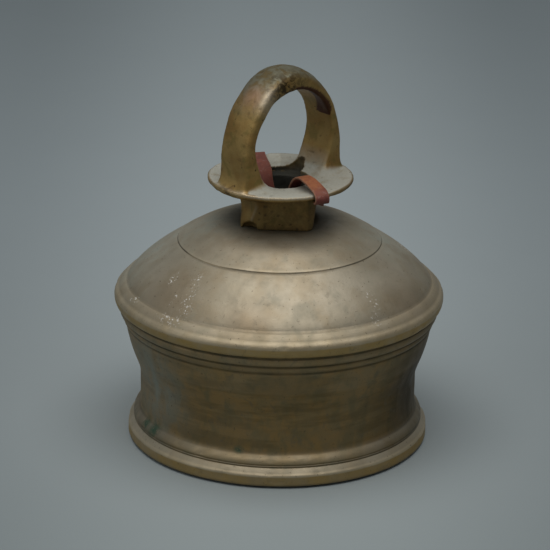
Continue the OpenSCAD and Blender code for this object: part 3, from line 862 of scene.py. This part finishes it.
def crown_field(p):
    solid = smooth_min(flange_field(p), neck_field(p), 1.6)
    reach = from_axis(p)
    solid = smooth_min(solid, loop_field(p), 1 + 7 * unit((RIM_R - 1 - reach) / 9))
    solid = np.minimum(solid, tenon_field(p))
    return smooth_max(solid, passage_field(p), 0.7)


def make_crown(material):
    points, faces, normal = skin_of(crown_field, CROWN_LO, CROWN_HI, 0.72)
    above = unit((points[:, 2] - CROWN_Z - 0.3) / 1.5)
    skin = 0.22 * lumps(points, 9, 11) + 0.12 * lumps(points, 3.4, 12) + 0.06 * lumps(points, 1.5, 13)
    pits = unit(lumps(points, 2.2, 14) - 0.68) * 1.2
    points = points + normal * ((skin - pits) * above)[:, None]
    make_mesh("crown_casting", points, faces, "root", material, ["crown_handle"],
              crown_marks(points, normal, pits))


def crown_marks(points, normal, pits):
    """Where the crown is grimy, dusty, worn, olive, stained or tan; where shade is painted (inside its
    passage, on its neck, at the neck's foot, on the rim's right side and on the loop's upper faces) and
    highlights are painted (the loop's left shoulder, the neck's left corner); and a dark patch on the right
    leg's inner face.
    """
    x, y, z = points.T
    reach = from_axis(points)
    turn = around(points, CAMERA_SIDE)
    # Painted shade inside the passage, kept off its lit right wall
    passage_shade = unit(passage_field(points + normal * 1.2) / 0.4)
    right_wall = spot((x - 16) / 4, (z - 137) / 3) * 0.75
    # A dark brown patch with a sharp lower edge on the front half of the right leg's inner face
    intrados = (np.abs(x) < EYE_HALF - 1) & (normal[:, 0] * x < 0) & (z > ARCH_SPRING)
    inner_patch = intrados * (x > 0) * (z > 159.8 - 0.43 * y)
    inner_patch = inner_patch * unit((1.5 - 0.5 * np.clip(z - 164, 0, 20) - y) / 0.8)

    # Grime and painted shade at the neck's foot, where it meets the dome
    low = unit(1 - (z - CROWN_Z) / 4) * 0.7
    # Painted shade on the neck under the flange, less on its left facet, which faces the light
    neck = unit((RIM_Z - 3 - z) / 2) * unit(0.85 + normal[:, 0] * 0.55 + 0.3 * lumps(points, 5, 18))
    rim_side = unit((reach - RIM_R + 1) / 0.8) * (np.abs(z - RIM_Z + 1) < 3)
    # Painted shade on the rim's outer side, to the right of the camera's side
    rim_side_shade = 0.55 * rim_side * unit(around(points, CAMERA_SIDE + 0.2))
    grime_and_shade = unit(np.maximum.reduce([low, 0.6 * neck, rim_side_shade]) + pits * 2)
    lies = unit((normal[:, 2] - 0.35) / 0.35) * unit((143 - z) / 5)
    pitted = 0.8 * spot((turn + 0.85) / 0.22, (reach - 35) / 2) * (lumps(points, 2.2, 19) > 0.25)
    # The flange's upward faces are a little darker to the right of the camera's side
    grime_and_shade = np.maximum.reduce([grime_and_shade, 0.2 * lies * unit(turn - 0.3), pitted * (z > RIM_Z - 6)])

    rubbed = unit((-0.25 - 0.065 * (RIM_R - reach) - turn + 0.1 * lumps(points, 3, 20)) / 0.08)
    rubbed = rubbed * unit((turn + 1.2) / 0.15)
    climb = 0.55 * np.clip(-normal[:, 0] * np.sign(x) - 0.3, 0, 0.5) * 2
    climb = climb * unit((RIM_Z + 11 - z) / 8) * (np.abs(x) < 30)
    dust = np.maximum(lies, climb) * (z > RIM_Z - 4) * (1 - rim_side) * (1 - passage_shade)
    dust = dust * (1 - rubbed * (reach > 28))

    rim = spot((reach - RIM_R + 1) / 0.8) * (np.abs(z - RIM_Z) < 1.5) * 0.65
    low_neck = unit((RIM_Z - 6 - z) / 17)
    # Painted highlight down the neck's left corner
    corner = spot((x + y + NECK_HALF * math.sqrt(2)) / 0.8, (x - y + 12.5 + 9 * low_neck) / 1.2)
    corner = 0.3 * corner * (z < RIM_Z - 4)
    # Painted highlight along the loop's left shoulder
    shoulder_highlight = spot((x + 18) / 5, (y + 9) / 1.8, (z - 180) / 7) * 0.8
    stain_and_shade = unit(-y / 8) * spot((x + 7) / 12, (z - 183) / 9)
    # Painted shade on the neck's front and right faces, left off its left facet
    stain_and_shade = np.maximum(stain_and_shade, 0.22 * (z < RIM_Z - 4) * (z > CROWN_Z) * (x > -18.5))
    return {"grime_and_shade": grime_and_shade, "dust": dust, "wear_and_highlight": np.maximum.reduce([rim, corner, shoulder_highlight]),
            # Olive patina and painted shade on the loop's upward faces, high on the loop
            "olive": unit((z - 170) / 12) * unit(normal[:, 2] * 1.4) * (1 - shoulder_highlight), "stain_and_shade": stain_and_shade,
            "tan": 0.75 * spot((x + 21) / 5, (y + 2) / 6, (z - 180) / 7),
            "passage_shade": passage_shade * (1 - right_wall), "inner_patch": inner_patch}


def washer_field(lo, hi, shrink, rough, edge, hole_r):
    """A washer in a CAD box, its rim shrunk and made uneven by rough: a depth, a cell and a seed."""
    middle, half = (lo[2] + hi[2]) / 2, (hi[2] - lo[2]) / 2
    depth, cell, seed = rough

    def field(p):
        r = from_axis(p)
        rim = r - hi[0] + shrink + depth * lumps(p, cell, seed)
        return np.maximum(round_both(rim, np.abs(p[:, 2] - middle) - half, edge), hole_r - r)

    return field


def make_crown_rove(material):
    field = washer_field(WASHER_LO, WASHER_HI, 0.25, (0.2, 7, 21), 0.5, TENON_HOLE_R + 0.1)
    points, faces, _ = skin_of(field, WASHER_LO, WASHER_HI, 0.6)
    make_mesh("crown_rove", points, faces, "root", material, ["crown_washer"],
              {"grime_and_shade": unit(0.4 + 0.5 * lumps(points, 5, 22))})


# ---- Leather thong and its lace ----

THONG_W = 7.2
THONG_T = 1.3
BEND_R = 3.05
UP = (0, 0, 1)
COLLAR_Z = 125.8


def collar(*places):
    """A level stretch round the neck, with the strap on edge."""
    return [((x, y, COLLAR_Z), UP) for x, y in places]


# The strap's middle line from its bend to each end, and the way its width lies at each place
FRONT_ROUTE = [
    ((0.1, -3.7, 110), (1, 0, 0)), ((0.6, -5.4, 121), (1, 0, 0)), ((1, -8.2, 130), (1, -0.05, 0)),
    ((0.7, -12, 136.2), (1, -0.15, 0)), ((-0.3, -16.8, 139), (0.98, -0.22, 0)),
    ((-2.2, -23.6, 139.2), (0.97, -0.25, 0)), ((-4.3, -30.8, 138.1), (0.96, -0.28, 0)),
    ((-5.7, -35.3, 136.9), (0.95, -0.3, 0)), ((-6.2, -37.3, 134.5), (0.94, -0.32, 0)),
    ((-5.8, -36.5, 132.2), (0.93, -0.35, 0)), ((-4.2, -34, 131.2), (0.9, -0.45, 0.05)),
    ((-1, -30.9, 130.4), (0.8, -0.55, 0.15)), ((2.8, -27.4, 129.2), (0.65, -0.6, 0.4)),
    ((7.6, -24.3, 127.8), (0.4, -0.4, 0.8)), ((10.8, -19, 126.5), UP), ((14, -14, 126.1), UP),
    ((18.6, -9.3, 125.9), UP)] + collar(
        (22.9, -5.9), (24.9, -2.4), (25, 1.9), (23.3, 5.9), (19.8, 9.6), (16.2, 13.2), (12.6, 16.8),
        (10.2, 19.2))
BACK_ROUTE = [
    ((0, 3.8, 110), (1, 0, 0)), ((-0.4, 6, 121), (1, 0, 0)), ((-0.6, 9.2, 129.5), (1, -0.05, 0)),
    ((1, 12.9, 134.6), (0.95, -0.3, 0)), ((3.8, 17.4, 136), (0.9, -0.45, 0)),
    ((7.4, 23.2, 136.2), (0.88, -0.5, 0)), ((11.1, 29, 136.3), (0.88, -0.5, 0)),
    ((14, 32.9, 136.1), (0.9, -0.45, 0)), ((15.3, 34.4, 134.2), (0.9, -0.42, 0)),
    ((15.1, 33, 131.8), (0.9, -0.42, 0)), ((13.4, 29.2, 130.4), (0.88, -0.5, 0.1)),
    ((11.9, 25.2, 128.8), (0.7, -0.5, 0.5)), ((12, 21.5, 126.8), (0.2, -0.1, 1))] + collar(
        (13.4, 18.3), (16.2, 15.5), (19.2, 12.5), (20.9, 10.8))


def spline(places, steps):
    """A smooth curve through places, with steps points to each stretch."""
    places = np.asarray(places, float)
    padded = np.vstack([places[:1], places, places[-1:]])
    t = np.linspace(0, 1, steps, endpoint=False)[:, None]
    runs = [0.5 * (2 * b + (c - a) * t + (2 * a - 5 * b + 4 * c - d) * t ** 2
                   + (3 * b - a - 3 * c + d) * t ** 3)
            for a, b, c, d in zip(padded, padded[1:], padded[2:], padded[3:])]
    return np.vstack(runs + [places[-1:]])


def even(points, gap, extra):
    """Points spaced evenly along a line, with extra resampled the same way."""
    length = np.concatenate([[0], np.cumsum(np.linalg.norm(np.diff(points, axis=0), axis=1))])
    at = np.linspace(0, length[-1], int(length[-1] / gap) + 1)
    pick = lambda values: np.stack([np.interp(at, length, values[:, k]) for k in range(3)], -1)
    return pick(points), pick(extra)


def sweep(points, wide, section, shape):
    """A closed skin's points and faces, and its thickness directions: a section (n, 2) of an even number of
    points is carried along a line, scaled by shape(k, count)."""
    along = np.gradient(points, axis=0)
    along /= np.linalg.norm(along, axis=1)[:, None]
    wide = wide - (wide * along).sum(1)[:, None] * along
    wide /= np.linalg.norm(wide, axis=1)[:, None]
    thick = np.cross(along, wide)
    count, sides = len(points), len(section)
    scale = np.array([shape(k, count) for k in range(count)])
    skin = (points[:, None] + wide[:, None] * section[None, :, :1] * scale[:, None, :1]
            + thick[:, None] * section[None, :, 1:] * scale[:, None, 1:])
    faces = np.vstack([quad_grid(count, sides), cap_faces(count, sides)])
    return np.vstack([skin.reshape(-1, 3), points[:1], points[-1:]]), faces, thick


def cap_faces(count, sides):
    """Four-sided fans that close a sweep's two ends on its last two points."""
    m = np.arange(0, sides, 2)
    first, base = np.full(len(m), count * sides), (count - 1) * sides
    return np.vstack([np.stack([first, (m + 2) % sides, m + 1, m], -1),
                      np.stack([first + 1, base + m, base + m + 1, base + (m + 2) % sides], -1)])


def strap_section():
    """The outline of cut hide: flat faces, softened edges."""
    a = np.arange(28) * 2 * np.pi / 28
    return np.stack([squared(np.cos(a), 0.6) * THONG_W / 2, squared(np.sin(a), 0.22) * THONG_T / 2], -1)


def make_thong(material):
    turn = np.radians(np.arange(180, 361, 20))
    bend = [((0, BEND_R * math.cos(a), PIVOT_Z + BEND_R * math.sin(a)), (1, 0, 0)) for a in turn]
    drop = [((0, -BEND_R, SWAY_Z), (1, 0, 0))] + bend + [((0, BEND_R, SWAY_Z), (1, 0, 0))]
    places, widths = [spline(column, 16) for column in zip(*FRONT_ROUTE[::-1], *drop, *BACK_ROUTE)]
    places, widths = even(places, 0.9, widths)
    section = strap_section()
    swell = lumps(places, 6, 31)
    nip = lumps(places, 2.4, 32)

    def shape(k, count):
        end = min(k, count - 1 - k)
        return (1 + 0.03 * swell[k] + 0.02 * nip[k], (0.96 + 0.04 * nip[k]) * min(1, 0.8 + 0.2 * end))

    points, faces, thick = sweep(places, widths, section, shape)
    hide = points[:-2]
    grain = 0.05 * lumps(hide, 2.2, 33) + 0.03 * lumps(hide, 1.1, 34)
    hide += np.repeat(thick, len(section), 0) * grain[:, None]
    faces_up = (thick[:, 2:] * np.sign(section[:, 1])[None]).ravel()
    across = np.tile(np.abs(section[:, 0]) / (THONG_W / 2), len(places))
    # Rubbing and painted light: the front strap's upward faces are made lighter and more orange
    rub_and_lit_top = unit(faces_up * 1.6 - 0.3) * np.clip((-hide[:, 1] - 8) / 5, 0.15, 1)
    rub_and_lit_top = rub_and_lit_top * np.clip((hide[:, 1] + 36.5) / 6, 0.25, 1)
    piece = make_mesh("thong_strap", points, faces, None, material,
                      ["thong_collar", "thong_drop"],
                      {"rub_and_lit_top": np.append(rub_and_lit_top, [0, 0]), "edge": np.append(unit((across - 0.9) / 0.08), [1, 1])})
    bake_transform(piece)


def make_lace(material):
    """One lace, wound round the thong's lapped ends on the neck's side."""
    turns, pitch, radius, from_neck = 4, 2.4, 0.52, 21.6
    middle_z = (LACE_LO[2] + LACE_HI[2]) / 2
    half_t, half_h = 2.2, (LACE_HI[2] - LACE_LO[2]) / 2 - 0.6
    t = np.linspace(-0.12, turns + 0.12, 360)
    angle = 2 * np.pi * t
    across = half_t * squared(np.cos(angle), 0.32)
    height = half_h * squared(np.sin(angle), 0.32)
    run = (t - turns / 2) * pitch + 1
    out = np.array([1, 1, 0]) / math.sqrt(2)
    side = np.array([1, -1, 0]) / math.sqrt(2)
    path = (out * (from_neck + across)[:, None] + side * run[:, None]
            + np.array(UP) * (middle_z + height)[:, None])
    path = path + 0.06 * np.stack([lumps(path, 2.5, seed) for seed in (41, 42, 43)], -1)
    path, wide = even(path, 0.35, np.tile(side, (len(path), 1)))
    a = np.arange(12) * 2 * np.pi / 12
    section = radius * np.stack([np.cos(a) * 1.08, np.sin(a) * 0.92], -1)
    points, faces, _ = sweep(path, wide, section, lambda k, count: (1, 1))
    make_mesh("thong_lace", points, faces, "root", material, ["thong_binding"])


# ---- Clapper ----

SHANK_R = 3.2
EYE_R = 2.05
CHEEK_X = 6.6
BALL_FOOT_R = 7.4


def shank_field(p):
    eye_low = PIVOT_Z - 8.4
    bar = rod(p, (-CHEEK_X, 0, PIVOT_Z), (CHEEK_X, 0, PIVOT_Z), EYE_R, EYE_R)
    q = p.copy()
    q[:, 0] = np.abs(q[:, 0])
    cheek = rod(q, (CHEEK_X, 0, PIVOT_Z), (CHEEK_X - 0.4, 0, eye_low + 1.6), EYE_R, EYE_R + 0.2)
    yoke = rod(q, (CHEEK_X - 0.4, 0, eye_low + 1.6), (0, 0, eye_low - 1), EYE_R + 0.2, 3)
    eye = smooth_min(smooth_min(bar, cheek, 0.6), yoke, 1)
    r = from_axis(p)
    z = p[:, 2]
    taper = SHANK_R + 0.9 * unit((z - (eye_low - 14)) / 14)
    stem = np.maximum(r - taper, np.maximum(z - eye_low, SHANK_LO[2] + 1.2 - z))
    collar = round_both(r - 4.9, np.abs(z - BALL_HI[2] - 1.3) - 1.2, 0.7)
    head_mid = (SHANK_LO[2] + ROVE_LO[2]) / 2
    head = round_both(r - 4.6, np.abs(z - head_mid) - (ROVE_LO[2] - SHANK_LO[2]) / 2, 0.6)
    return np.minimum(smooth_min(smooth_min(eye, stem, 2.2), collar, 1), head)


def iron(name, points, faces, material, node, wear_and_highlight):
    make_mesh(name, points, faces, "clapper", material, [node], {"wear_and_highlight": wear_and_highlight})


def make_forging(material):
    points, faces, normal = skin_of(shank_field, SHANK_LO, SHANK_HI, 0.5)
    clear = unit((PIVOT_Z - 5 - points[:, 2]) / 3)
    hammer = 0.16 * lumps(points, 6, 51) + 0.06 * lumps(points, 2, 52)
    inside_ball = (points[:, 2] < BALL_HI[2]) & (points[:, 2] > ROVE_LO[2])
    points = points + normal * (hammer * clear * ~inside_ball)[:, None]
    wear_and_highlight = (np.abs(points[:, 2] - PIVOT_Z) < 2.5) * (np.abs(points[:, 0]) < 4) * 0.7
    iron("clapper_forging", points, faces, material, "clapper_shank", wear_and_highlight)


def make_striker(material):
    ball_r = BALL_HI[0]
    centre = np.array([0, 0, BALL_LO[2] + math.sqrt(ball_r ** 2 - BALL_FOOT_R ** 2)])

    def ball_field(p):
        away = p - centre
        knock = np.abs(away[:, 1]) - (ball_r - 0.55)
        ball = smooth_max(np.linalg.norm(away, axis=1) - ball_r + 0.15, knock, 0.8)
        ends = np.maximum(p[:, 2] - BALL_HI[2], BALL_LO[2] - p[:, 2])
        return np.maximum(round_both(ball, ends, 0.6), SHANK_R + 0.1 - from_axis(p))

    points, faces, normal = skin_of(ball_field, BALL_LO, BALL_HI, 0.6)
    outer = from_axis(points) > SHANK_R + 1.5
    middle = unit((16 - np.abs(points[:, 2] - centre[2])) / 2)
    hammer = 0.2 * lumps(points, 7, 53) + 0.07 * lumps(points, 2.2, 54) - 0.12
    points = points + normal * (hammer * outer * middle)[:, None]
    wear_and_highlight = unit((np.abs(points[:, 1]) - ball_r + 2) / 1.2) * unit(0.7 + 0.5 * lumps(points, 3, 55))
    iron("clapper_striker", points, faces, material, "clapper_ball", wear_and_highlight)


def make_clapper_rove(material):
    field = washer_field(ROVE_LO, ROVE_HI, 0.2, (0.15, 4, 56), 0.35, SHANK_R + 0.1)
    points, faces, _ = skin_of(field, ROVE_LO, ROVE_HI, 0.35)
    iron("clapper_rove", points, faces, material, "clapper_washer", np.zeros(len(points)))


def make_floor():
    size, n = 6.0, 60
    edge = np.linspace(-size, size, n + 1) / MM
    grid = np.stack(np.meshgrid(edge, edge, indexing="ij"), -1).reshape(-1, 2)
    points = np.concatenate([grid, np.full((len(grid), 1), -0.05)], -1) * MM
    k = (np.arange(n)[:, None] * (n + 1) + np.arange(n)[None]).ravel()
    faces = np.stack([k, k + n + 1, k + n + 2, k + 1], -1)
    mesh = bpy.data.meshes.new("floor")
    mesh.from_pydata(points.tolist(), [], faces.tolist())
    mesh.materials.append(floor_paper_with_painted_light())
    floor = bpy.data.objects.new("floor", mesh)
    bpy.context.scene.collection.objects.link(floor)


make_camera()
make_light()
make_floor()
make_bell(turned_brass())
CAST = cast_brass()
make_crown(CAST)
make_crown_rove(CAST)
make_thong(leather())
make_lace(rawhide())
IRON = forged_iron()
make_forging(IRON)
make_striker(IRON)
make_clapper_rove(IRON)
